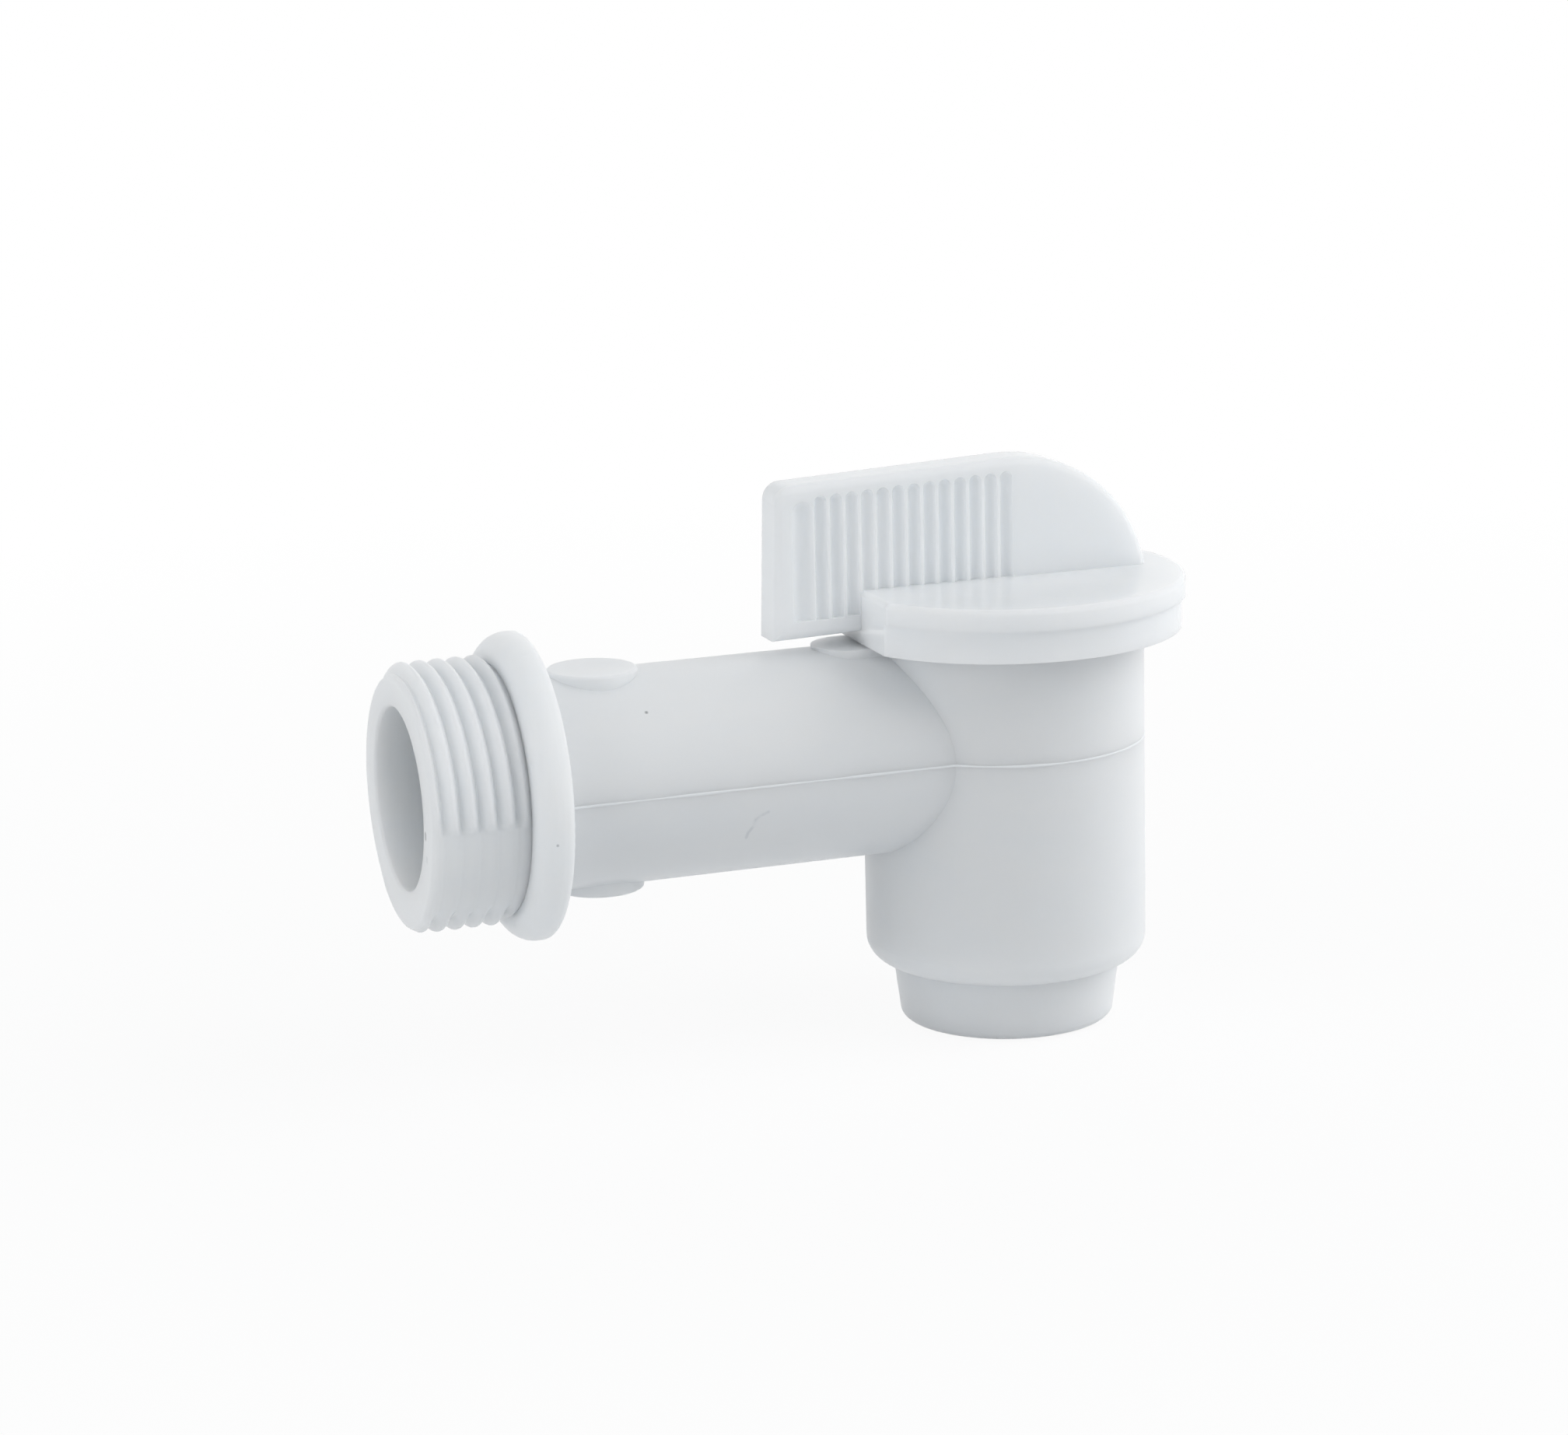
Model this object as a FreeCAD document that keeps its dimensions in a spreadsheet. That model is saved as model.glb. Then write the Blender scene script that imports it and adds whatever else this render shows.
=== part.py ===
import FreeCAD, Part
import Sketcher
import math
import os

# Water butt tap in white polyethylene: a body moulded in one piece with its threaded
# spigot, flange, barrel, housing and outlet, and a hollow quarter-turn plug moulded in
# one piece with its head and fluted wing.
# Frame: origin on the barrel axis in the flange's sealing face, +X away from the butt's
# wall towards the plug, +Z up along the plug axis. Millimetres and degrees.

SIZES = [
    # spigot, flange and barrel, along X
    ("spigot_length", 9.8),
    ("spigot_radius", 13.2),
    ("spigot_lead", 0.85),
    ("flange_radius", 15.2),
    ("flange_thick", 3.6),
    ("flange_front_round", 1.2),
    ("flange_back_round", 0.7),
    ("barrel_radius", 10.7),
    ("inlet_bore", 9.0),
    ("throat_bore", 8.2),
    ("throat_start", 3.6),
    ("throat_taper", 6.0),
    # flat-topped bosses on the barrel beside the flange, and the pad below the wing
    ("boss_place", 10.2),
    ("boss_radius", 4.5),
    ("boss_height", 0.4),
    ("boss_round", 0.3),
    ("pad_reach", 20.4),
    ("pad_half", 3.6),
    ("pad_height", 0.25),
    # housing and outlet, along Z
    ("axis_reach", 53.6),
    ("housing_radius", 14.3),
    ("housing_round", 2.4),
    ("shoulder_depth", 23.1),
    ("outlet_neck", 11.6),
    ("outlet_radius", 10.9),
    ("outlet_depth", 29.3),
    ("outlet_round", 0.8),
    ("outlet_bore", 9.0),
    ("bore_radius", 12.0),
    ("bore_depth", 20.8),
    ("bore_lead", 0.5),
    # plug stem
    ("stem_gap", 0.2),
    ("foot_gap", 0.3),
    ("stem_wall", 2.2),
    ("port_radius", 7.2),
    ("snap_height", 10.4),
    ("snap_half", 0.55),
    ("snap_rise", 0.4),
    ("snap_gap", 0.3),
    # plug head
    ("head_gap", 0.25),
    ("head_top_radius", 18.5),
    ("head_step", 0.4),
    ("head_low_height", 3.2),
    ("head_top_height", 2.2),
    ("head_round", 0.6),
    ("head_flat_share", 0.342),
    ("head_plate", 2.4),
    ("rim_gap", 0.3),
    ("recess_gap", 0.4),
    # quarter-turn stop
    ("travel", 90),
    ("lug_angle", 16),
    ("lug_depth", 1.9),
    ("lug_inset", 0.5),
    ("stop_slack", 1.0),
    # wing
    ("wing_thick", 4.6),
    ("wing_tip", 25.2),
    ("wing_lean", 0.5),
    ("wing_hang", 4.4),
    ("wing_hang_rise", 0.25),
    ("wing_tip_height", 11.0),
    ("wing_crest", 12.0),
    ("wing_heel", 15.2),
    ("wing_corner", 1.8),
    ("wing_edge", 0.8),
    ("wing_root_depth", 2.1),
    ("wing_root_wall", 0.3),
    # flutes in both faces of the wing
    ("flute_pitch", 1.645),
    ("hang_flutes", 3),
    ("head_flutes", 10),
    ("flute_radius", 0.68),
    ("flute_depth", 0.55),
    ("flute_last", 0.33),
    ("flute_top_margin", 1.25),
    ("flute_low_margin", 1.9),
    ("flute_sink", 1.0),
    ("wide_flute_radius", 1.5),
    ("wide_flute_depth", 0.5),
    ("wide_flute_step", 1.9),
]

# Heights and radii that follow from the sizes above.
HEAD_BOTTOM = "(sizes.barrel_radius + sizes.pad_height + sizes.head_gap)"
HEAD_LINE = f"({HEAD_BOTTOM} + sizes.head_low_height)"
HEAD_TOP = f"({HEAD_LINE} + sizes.head_top_height)"
PLATE_BOTTOM = f"({HEAD_TOP} - sizes.head_plate)"
HOUSING_TOP = f"({PLATE_BOTTOM} - sizes.rim_gap)"
RECESS_RADIUS = "(sizes.housing_radius + sizes.recess_gap)"
HEAD_LOW_RADIUS = "(sizes.head_top_radius - sizes.head_step)"
HEAD_FLAT = f"({RECESS_RADIUS} + sizes.head_flat_share * (sizes.head_top_radius - {RECESS_RADIUS}))"
STEM_RADIUS = "(sizes.bore_radius - sizes.stem_gap)"
STEM_INNER = f"({STEM_RADIUS} - sizes.stem_wall)"
STEM_FOOT = "(sizes.foot_gap - sizes.bore_depth)"
BEAD_RADIUS = f"({STEM_RADIUS} + sizes.snap_rise)"
SNAP_GROOVE = f"({BEAD_RADIUS} + sizes.snap_gap)"
GROOVE_HALF = "(sizes.snap_half + sizes.snap_gap)"
LUG_BOTTOM = f"({PLATE_BOTTOM} - sizes.lug_depth)"
NOTCH_BOTTOM = f"({LUG_BOTTOM} - sizes.rim_gap)"
NOTCH_ANGLE = "(sizes.travel + sizes.lug_angle + 2 * sizes.stop_slack)"
WING_BOTTOM = f"({HEAD_TOP} - sizes.wing_hang)"
WING_ROOT_Z = f"({HEAD_TOP} - sizes.wing_root_depth)"
WING_ROOT_X = f"(0 - {RECESS_RADIUS} - sizes.wing_root_wall)"
TIP_X = "(sizes.wing_lean - sizes.wing_tip)"
TIP_Z = f"({HEAD_TOP} + sizes.wing_tip_height)"
CREST_Z = f"({HEAD_TOP} + sizes.wing_crest)"
TOP_RUN = "(sizes.wing_tip - sizes.wing_lean)"
TOP_RISE = "(sizes.wing_crest - sizes.wing_tip_height)"
TOP_SLOPE = f"({TOP_RISE} / {TOP_RUN})"
FIRST_HEAD_FLUTE = "(-sizes.flute_last - (sizes.head_flutes - 1) * sizes.flute_pitch)"
FIRST_HANG_FLUTE = f"({FIRST_HEAD_FLUTE} - sizes.hang_flutes * sizes.flute_pitch)"
WIDE_FLUTE = f"({FIRST_HANG_FLUTE} - sizes.wide_flute_step)"
HANG_FLUTE_LOW = f"({WING_BOTTOM} + sizes.flute_low_margin)"
HEAD_FLUTE_LOW = f"({HEAD_TOP} - sizes.flute_sink)"

# Two points or directions closer than this are taken as the same.
NEAR = 1e-4

doc = FreeCAD.newDocument("water_butt_tap")


def make_sheet():
    """Writes each driving size as text in column B, with its name in column A as the alias."""
    sheet = doc.addObject("Spreadsheet::Sheet", "sizes")
    for row, (name, value) in enumerate(SIZES, start=1):
        sheet.set(f"A{row}", name)
        sheet.set(f"B{row}", str(value))
        sheet.setAlias(f"B{row}", name)
    doc.recompute()
    return sheet


def bind(obj, **expressions):
    """Ties properties to sheet expressions; a double underscore in a name stands for a dot."""
    for name, expression in expressions.items():
        obj.setExpression(name.replace("__", "."), expression)


def value_of(obj, expression):
    """The number that a sheet expression has now."""
    return float(obj.evalExpression(expression))


def new_body(name, x_place=None):
    body = doc.addObject("PartDesign::Body", name)
    body.Label = name
    if x_place:
        bind(body, Placement__Base__x=x_place)
    return body


def new_sketch(body, name, plane, **offsets):
    """A sketch on one of the body's own origin planes, shifted or turned by bound offsets."""
    sketch = body.newObject("Sketcher::SketchObject", name)
    support = next(f for f in body.Origin.OriginFeatures if f.Role == plane)
    sketch.AttachmentSupport = [(support, "")]
    sketch.MapMode = "FlatFace"
    bind(sketch, **{f"AttachmentOffset__{key}": text for key, text in offsets.items()})
    return sketch


def arc_through(start, end, radius, turn):
    """The shorter arc from start to end; turn +1 runs anticlockwise and -1 clockwise."""
    chord = end - start
    height = math.sqrt(max(radius ** 2 - (chord.Length / 2) ** 2, 0.0))
    normal = FreeCAD.Vector(-chord.y, chord.x, 0).normalize()
    centre = (start + end) * 0.5 + normal * (height * turn)
    first, last = (start, end) if turn > 0 else (end, start)
    angles = [math.atan2(p.y - centre.y, p.x - centre.x) for p in (first, last)]
    circle = Part.Circle(centre, FreeCAD.Vector(0, 0, 1), radius)
    return Part.ArcOfCircle(circle, angles[0], angles[1])


def hold(sketch, geometry, end, corner):
    """Fixes one end of a line or arc at a corner given by two sheet expressions."""
    for kind, text in zip(("DistanceX", "DistanceY"), corner):
        value = value_of(sketch, text)
        index = sketch.addConstraint(Sketcher.Constraint(kind, -1, 1, geometry, end, value))
        sketch.setExpression(f"Constraints[{index}]", text)


def outline(sketch, corners):
    """Draws a closed outline from corner to corner.

    A corner is (x, y) at the end of a straight run, (x, y, radius, turn) at the end of an
    arc, or (x, y, None, turn) at the end of an arc that carries on smoothly from the run
    before it. The run before the first corner starts at the last corner.
    """
    doc.recompute()
    points = [FreeCAD.Vector(value_of(sketch, c[0]), value_of(sketch, c[1]), 0) for c in corners]
    ends = []
    for place, corner in enumerate(corners):
        start, end = points[place - 1], points[place]
        if len(corner) == 2:
            geometry = sketch.addGeometry(Part.LineSegment(start, end))
            ends.append((geometry, 1, 2))
            continue
        turn = corner[3]
        radius = value_of(sketch, corner[2]) if corner[2] else (end - start).Length
        geometry = sketch.addGeometry(arc_through(start, end, radius, turn))
        ends.append((geometry, 1, 2) if turn > 0 else (geometry, 2, 1))
        if corner[2]:
            index = sketch.addConstraint(Sketcher.Constraint("Radius", geometry, radius))
            sketch.setExpression(f"Constraints[{index}]", corner[2])
    for place, corner in enumerate(corners):
        before, here = ends[place - 1], ends[place]
        smooth = len(corner) == 4 and corner[2] is None
        kind = "Tangent" if smooth else "Coincident"
        sketch.addConstraint(Sketcher.Constraint(kind, before[0], before[2], here[0], here[1]))
        hold(sketch, here[0], here[2], corner[:2])
    doc.recompute()


def circle(sketch, x, y, radius):
    """Draws one circle with its centre and radius bound to the sheet."""
    doc.recompute()
    centre = FreeCAD.Vector(value_of(sketch, x), value_of(sketch, y), 0)
    size = value_of(sketch, radius)
    geometry = sketch.addGeometry(Part.Circle(centre, FreeCAD.Vector(0, 0, 1), size))
    hold(sketch, geometry, 3, (x, y))
    index = sketch.addConstraint(Sketcher.Constraint("Radius", geometry, size))
    sketch.setExpression(f"Constraints[{index}]", radius)
    doc.recompute()


def feature(body, kind, name, sketch, **settings):
    """Adds a sketch-based PartDesign feature and recomputes the document."""
    made = body.newObject(f"PartDesign::{kind}", name)
    made.Profile = sketch
    for key, value in settings.items():
        setattr(made, key, value)
    doc.recompute()
    return made


def turned(body, kind, name, sketch, axis, angle="360", midplane=False):
    """Turns a sketch about one of its own axes, as material or as a cut."""
    made = feature(body, kind, name, sketch, ReferenceAxis=(sketch, [axis]), Midplane=midplane)
    made.setExpression("Angle", angle)
    doc.recompute()
    return made


def cut_checked(body, before):
    """A cut that points away from the solid takes nothing, so its volume is compared."""
    if not 0 < body.Shape.Volume < before - NEAR:
        raise RuntimeError(f"a cut in {body.Label} removed nothing")


def edges_where(shape, wanted):
    """The names of a shape's edges that a test accepts."""
    return [f"Edge{i}" for i, edge in enumerate(shape.Edges, start=1) if wanted(edge)]


def build_tap_body():
    body = new_body("tap_body")

    barrel = new_sketch(body, "barrel_section", "XZ_Plane")
    outline(barrel, [
        ("-sizes.spigot_length", "0"),
        ("-sizes.spigot_length", "sizes.spigot_radius - sizes.spigot_lead"),
        ("sizes.spigot_lead - sizes.spigot_length", "sizes.spigot_radius"),
        ("0", "sizes.spigot_radius"),
        ("0", "sizes.flange_radius - sizes.flange_front_round"),
        ("sizes.flange_front_round", "sizes.flange_radius", "sizes.flange_front_round", -1),
        ("sizes.flange_thick - sizes.flange_back_round", "sizes.flange_radius"),
        ("sizes.flange_thick", "sizes.flange_radius - sizes.flange_back_round",
         "sizes.flange_back_round", -1),
        ("sizes.flange_thick", "sizes.barrel_radius"),
        ("sizes.axis_reach", "sizes.barrel_radius"),
        ("sizes.axis_reach", "0"),
    ])
    turned(body, "Revolution", "spigot_flange_barrel", barrel, "H_Axis")

    housing = new_sketch(body, "housing_section", "XZ_Plane", Base__x="sizes.axis_reach")
    outline(housing, [
        ("0", HOUSING_TOP),
        ("sizes.housing_radius", HOUSING_TOP),
        ("sizes.housing_radius", "sizes.housing_round - sizes.shoulder_depth"),
        ("sizes.housing_radius - sizes.housing_round", "-sizes.shoulder_depth",
         "sizes.housing_round", -1),
        ("sizes.outlet_neck", "-sizes.shoulder_depth"),
        ("sizes.outlet_radius", "sizes.outlet_round - sizes.outlet_depth"),
        ("sizes.outlet_radius - sizes.outlet_round", "-sizes.outlet_depth",
         "sizes.outlet_round", -1),
        ("0", "-sizes.outlet_depth"),
    ])
    turned(body, "Revolution", "housing_and_outlet", housing, "V_Axis")

    bosses = new_sketch(body, "boss_outline", "XY_Plane")
    circle(bosses, "sizes.boss_place", "0", "sizes.boss_radius")
    boss_pad = feature(body, "Pad", "top_and_bottom_boss", bosses, Midplane=True)
    bind(boss_pad, Length="2 * (sizes.barrel_radius + sizes.boss_height)")
    doc.recompute()
    boss_z = value_of(bosses, "sizes.barrel_radius + sizes.boss_height")

    def on_boss_rim(edge):
        return abs(abs(edge.CenterOfMass.z) - boss_z) < NEAR

    rounded = body.newObject("PartDesign::Fillet", "boss_rims")
    rounded.Base = (boss_pad, edges_where(boss_pad.Shape, on_boss_rim))
    bind(rounded, Radius="sizes.boss_round")
    doc.recompute()

    pad = new_sketch(body, "pad_outline", "XY_Plane", Base__x="sizes.axis_reach")
    outline(pad, [
        ("0", "-sizes.pad_half"),
        ("0", "sizes.pad_half"),
        ("sizes.pad_half - sizes.pad_reach", "sizes.pad_half"),
        ("-sizes.pad_reach", "0", "sizes.pad_half", 1),
        ("sizes.pad_half - sizes.pad_reach", "-sizes.pad_half", "sizes.pad_half", 1),
    ])
    wing_pad = feature(body, "Pad", "pad_below_wing", pad)
    bind(wing_pad, Length="sizes.barrel_radius + sizes.pad_height")
    doc.recompute()

    volume = body.Shape.Volume
    bore = new_sketch(body, "bore_section", "XZ_Plane", Base__x="sizes.axis_reach")
    outline(bore, [
        ("0", HOUSING_TOP),
        ("sizes.bore_radius + sizes.bore_lead", HOUSING_TOP),
        ("sizes.bore_radius", f"{HOUSING_TOP} - sizes.bore_lead"),
        ("sizes.bore_radius", f"sizes.snap_height + {GROOVE_HALF} + {SNAP_GROOVE} - sizes.bore_radius"),
        (SNAP_GROOVE, f"sizes.snap_height + {GROOVE_HALF}"),
        (SNAP_GROOVE, f"sizes.snap_height - {GROOVE_HALF}"),
        ("sizes.bore_radius", f"sizes.snap_height - {GROOVE_HALF} - {SNAP_GROOVE} + sizes.bore_radius"),
        ("sizes.bore_radius", "-sizes.bore_depth"),
        ("sizes.outlet_bore", "-sizes.bore_depth"),
        ("sizes.outlet_bore", "-sizes.outlet_depth"),
        ("0", "-sizes.outlet_depth"),
    ])
    turned(body, "Groove", "plug_bore_and_outlet", bore, "V_Axis")
    cut_checked(body, volume)

    volume = body.Shape.Volume
    inlet = new_sketch(body, "inlet_section", "XZ_Plane")
    outline(inlet, [
        ("-sizes.spigot_length", "0"),
        ("-sizes.spigot_length", "sizes.inlet_bore"),
        ("sizes.throat_start", "sizes.inlet_bore"),
        ("sizes.throat_start + sizes.throat_taper", "sizes.throat_bore"),
        ("sizes.axis_reach", "sizes.throat_bore"),
        ("sizes.axis_reach", "0"),
    ])
    turned(body, "Groove", "inlet_passage", inlet, "H_Axis")
    cut_checked(body, volume)

    volume = body.Shape.Volume
    notch = new_sketch(body, "notch_section", "XZ_Plane", Base__x="sizes.axis_reach")
    outline(notch, [
        ("sizes.bore_radius - sizes.stem_gap", NOTCH_BOTTOM),
        ("sizes.housing_radius + sizes.recess_gap", NOTCH_BOTTOM),
        ("sizes.housing_radius + sizes.recess_gap", f"{HOUSING_TOP} + sizes.rim_gap"),
        ("sizes.bore_radius - sizes.stem_gap", f"{HOUSING_TOP} + sizes.rim_gap"),
    ])
    turned(body, "Groove", "stop_notch", notch, "V_Axis", NOTCH_ANGLE, True)
    cut_checked(body, volume)
    return body


def build_stem_and_head():
    body = new_body("plug_stem_and_head", "sizes.axis_reach")

    section = new_sketch(body, "plug_section", "XZ_Plane")
    outline(section, [
        ("0", HEAD_TOP),
        ("sizes.head_top_radius - sizes.head_round", HEAD_TOP),
        ("sizes.head_top_radius", f"{HEAD_TOP} - sizes.head_round", "sizes.head_round", -1),
        ("sizes.head_top_radius", HEAD_LINE),
        (HEAD_LOW_RADIUS, HEAD_LINE),
        (HEAD_LOW_RADIUS, HEAD_BOTTOM),
        (RECESS_RADIUS, HEAD_BOTTOM),
        (RECESS_RADIUS, PLATE_BOTTOM),
        (STEM_RADIUS, PLATE_BOTTOM),
        (STEM_RADIUS, "sizes.snap_height + sizes.snap_half + sizes.snap_rise"),
        (BEAD_RADIUS, "sizes.snap_height + sizes.snap_half"),
        (BEAD_RADIUS, "sizes.snap_height - sizes.snap_half"),
        (STEM_RADIUS, "sizes.snap_height - sizes.snap_half - sizes.snap_rise"),
        (STEM_RADIUS, STEM_FOOT),
        (STEM_INNER, STEM_FOOT),
        (STEM_INNER, PLATE_BOTTOM),
        ("0", PLATE_BOTTOM),
    ])
    turned(body, "Revolution", "stem_and_round_head", section, "V_Axis")

    volume = body.Shape.Volume
    flat = new_sketch(body, "flat_outline", "XY_Plane")
    outline(flat, [
        (f"0 - {HEAD_FLAT}", "-sizes.head_top_radius"),
        (f"0 - {HEAD_FLAT}", "sizes.head_top_radius"),
        ("-2 * sizes.head_top_radius", "sizes.head_top_radius"),
        ("-2 * sizes.head_top_radius", "-sizes.head_top_radius"),
    ])
    feature(body, "Pocket", "flat_on_wing_side", flat, Type="ThroughAll", Midplane=True)
    cut_checked(body, volume)

    volume = body.Shape.Volume
    port = new_sketch(body, "port_outline", "YZ_Plane")
    circle(port, "0", "0", "sizes.port_radius")
    side_port = feature(body, "Pocket", "side_port", port)
    bind(side_port, Length="sizes.bore_radius + sizes.head_gap")
    doc.recompute()
    cut_checked(body, volume)

    lug = new_sketch(body, "lug_section", "XZ_Plane", Rotation__Axis__x="0", Rotation__Axis__y="1",
                     Rotation__Axis__z="0", Rotation__Angle="sizes.travel / 2")
    outline(lug, [
        ("sizes.bore_radius + sizes.lug_inset", LUG_BOTTOM),
        ("sizes.housing_radius - sizes.lug_inset", LUG_BOTTOM),
        ("sizes.housing_radius - sizes.lug_inset", f"{PLATE_BOTTOM} + sizes.lug_inset"),
        ("sizes.bore_radius + sizes.lug_inset", f"{PLATE_BOTTOM} + sizes.lug_inset"),
    ])
    turned(body, "Revolution", "stop_lug", lug, "V_Axis", "sizes.lug_angle", True)

    flat_x = value_of(section, f"0 - {HEAD_FLAT}")
    top_z = value_of(section, HEAD_TOP)

    def on_flat_top(edge):
        ends = [vertex.Point for vertex in edge.Vertexes]
        return all(abs(end.x - flat_x) < NEAR and abs(end.z - top_z) < NEAR for end in ends)

    tip = body.Tip
    rounded = body.newObject("PartDesign::Fillet", "flat_edge")
    rounded.Base = (tip, edges_where(tip.Shape, on_flat_top))
    bind(rounded, Radius="sizes.head_round")
    doc.recompute()
    return body


def build_wing():
    body = new_body("plug_wing", "sizes.axis_reach")

    side = new_sketch(body, "wing_outline", "XZ_Plane")
    outline(side, [
        ("-sizes.wing_tip", WING_BOTTOM),
        (TIP_X, TIP_Z),
        ("0", CREST_Z),
        ("sizes.wing_heel", WING_ROOT_Z, None, -1),
        (WING_ROOT_X, WING_ROOT_Z),
        (WING_ROOT_X, f"{WING_BOTTOM} + sizes.wing_hang_rise"),
    ])
    plate = feature(body, "Pad", "wing_plate", side, Midplane=True)
    bind(plate, Length="sizes.wing_thick")
    doc.recompute()

    tip_x, tip_z = value_of(side, TIP_X), value_of(side, TIP_Z)
    root_x, root_z = value_of(side, WING_ROOT_X), value_of(side, WING_ROOT_Z)
    face_y = value_of(side, "sizes.wing_thick / 2")

    def at_tip_corner(edge):
        ends = [vertex.Point for vertex in edge.Vertexes]
        return all(abs(end.x - tip_x) < NEAR and abs(end.z - tip_z) < NEAR for end in ends)

    def round_a_face(edge):
        ends = [vertex.Point for vertex in edge.Vertexes]
        on_face = all(abs(abs(end.y) - face_y) < NEAR for end in ends) and abs(ends[0].y - ends[-1].y) < NEAR
        buried = (all(abs(end.x - root_x) < NEAR for end in ends)
                  or all(abs(end.z - root_z) < NEAR for end in ends))
        return on_face and not buried

    for name, wanted, radius in (("wing_corner", at_tip_corner, "sizes.wing_corner"),
                                 ("wing_edges", round_a_face, "sizes.wing_edge")):
        tip = body.Tip
        rounded = body.newObject("PartDesign::Fillet", name)
        rounded.Base = (tip, edges_where(tip.Shape, wanted))
        bind(rounded, Radius=radius)
        doc.recompute()

    for name, turn in (("front", 1), ("back", -1)):
        cut_flute(body, f"{name}_wide_flute", turn, WIDE_FLUTE, HANG_FLUTE_LOW,
                  "sizes.wide_flute_radius", "sizes.wide_flute_depth")
        cut_flute_row(body, f"{name}_hang_flute", turn, FIRST_HANG_FLUTE, HANG_FLUTE_LOW, "sizes.hang_flutes")
        cut_flute_row(body, f"{name}_head_flute", turn, FIRST_HEAD_FLUTE, HEAD_FLUTE_LOW, "sizes.head_flutes")
    return body


def cut_flute(body, name, turn, centre_x, low, radius, depth):
    """Cuts one round-topped flute about an upright axis that stands just outside the wing's face.

    The section also has a construction line along the wing's top edge, for a row to climb by.
    """
    volume = body.Shape.Volume
    out = f"(sizes.wing_thick / 2 + {radius} - {depth})"
    section = new_sketch(body, f"{name}_section", "XZ_Plane", Base__x=centre_x, Base__z=f"{turn} * {out}")
    top = f"({CREST_Z} + {centre_x} * {TOP_SLOPE} - sizes.flute_top_margin)"
    outline(section, [
        ("0", low),
        (radius, low),
        (radius, f"{top} - {radius}"),
        ("0", top, radius, 1),
    ])
    start = FreeCAD.Vector(0, 0, 0)
    end = FreeCAD.Vector(value_of(section, TOP_RUN), value_of(section, TOP_RISE), 0)
    line = section.addGeometry(Part.LineSegment(start, end), True)
    section.addConstraint(Sketcher.Constraint("Coincident", line, 1, -1, 1))
    hold(section, line, 2, (TOP_RUN, TOP_RISE))
    groove = turned(body, "Groove", name, section, "V_Axis")
    cut_checked(body, volume)
    return groove, section


def cut_flute_row(body, name, turn, first_x, low, number):
    """Repeats a flute along the wing's top edge."""
    groove, section = cut_flute(body, name, turn, first_x, low, "sizes.flute_radius", "sizes.flute_depth")
    volume = body.Shape.Volume
    row = body.newObject("PartDesign::LinearPattern", f"{name}_row")
    row.Originals = [groove]
    row.Direction = (section, ["Axis0"])
    bind(row, Length=f"({number} - 1) * sizes.flute_pitch", Occurrences=number)
    body.Tip = row
    doc.recompute()
    cut_checked(body, volume)


def build_valve_plug():
    """Joins the stem, head and wing into the one moulding that they are."""
    plug = doc.addObject("Part::Fuse", "valve_plug")
    plug.Label = "valve_plug"
    plug.Base = build_stem_and_head()
    plug.Tool = build_wing()
    plug.Refine = True
    doc.recompute()
    return plug


make_sheet()
sub_parts = [build_tap_body(), build_valve_plug()]
doc.recompute()

failed = [obj.Label for obj in doc.Objects if {"Invalid", "Error"} & set(obj.State)]
if failed:
    raise RuntimeError("failed to recompute: " + ", ".join(failed))
for sub_part in sub_parts:
    if sub_part.Shape.isNull() or not sub_part.Shape.isValid():
        raise RuntimeError(f"{sub_part.Label} has no valid shape")
    if len(sub_part.Shape.Solids) != 1:
        raise RuntimeError(f"{sub_part.Label} is not one solid")

os.makedirs("parts", exist_ok=True)
for sub_part in sub_parts:
    sub_part.Shape.exportStep(f"parts/{sub_part.Label}.step")
    box = sub_part.Shape.BoundBox
    print(sub_part.Label, f"{sub_part.Shape.Volume:.0f} mm3", [round(v, 2) for v in
          (box.XMin, box.YMin, box.ZMin, box.XMax, box.YMax, box.ZMax)])
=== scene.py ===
# %% [markdown]
# # A water butt tap in white polyethylene
# The tap is two mouldings: a body with spigot, flange, barrel, housing and outlet, and a
# quarter-turn plug with a fluted wing. Their solids come in as a fixed frame, so this
# lesson starts from the right sizes and adds what a mould and the plastic give them: the
# thread, the flash along the parting line, and a waxy, slightly translucent finish.

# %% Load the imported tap
import math

import bpy
import numpy as np
from mathutils import Matrix, Vector


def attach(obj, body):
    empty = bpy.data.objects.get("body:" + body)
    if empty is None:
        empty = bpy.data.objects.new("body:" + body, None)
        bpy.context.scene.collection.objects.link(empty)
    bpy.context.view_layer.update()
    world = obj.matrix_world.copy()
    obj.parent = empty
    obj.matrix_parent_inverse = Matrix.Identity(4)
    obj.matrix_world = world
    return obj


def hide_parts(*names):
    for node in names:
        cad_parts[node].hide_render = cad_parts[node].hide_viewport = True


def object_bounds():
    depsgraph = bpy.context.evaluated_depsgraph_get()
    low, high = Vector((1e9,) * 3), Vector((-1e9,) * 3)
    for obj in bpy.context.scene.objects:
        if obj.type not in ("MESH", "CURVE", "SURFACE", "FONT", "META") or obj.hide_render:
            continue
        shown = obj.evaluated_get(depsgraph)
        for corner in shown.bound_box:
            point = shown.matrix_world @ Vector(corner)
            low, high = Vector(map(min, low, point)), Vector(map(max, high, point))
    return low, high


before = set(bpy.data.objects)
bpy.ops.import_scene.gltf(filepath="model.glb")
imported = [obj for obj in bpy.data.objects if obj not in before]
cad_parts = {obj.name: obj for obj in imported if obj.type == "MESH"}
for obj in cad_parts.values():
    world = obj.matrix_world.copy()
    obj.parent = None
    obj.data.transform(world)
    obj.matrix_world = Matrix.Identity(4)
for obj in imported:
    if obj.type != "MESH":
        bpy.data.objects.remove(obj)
cad_low, cad_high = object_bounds()
MM = 0.001
TURN = 2 * math.pi
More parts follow.
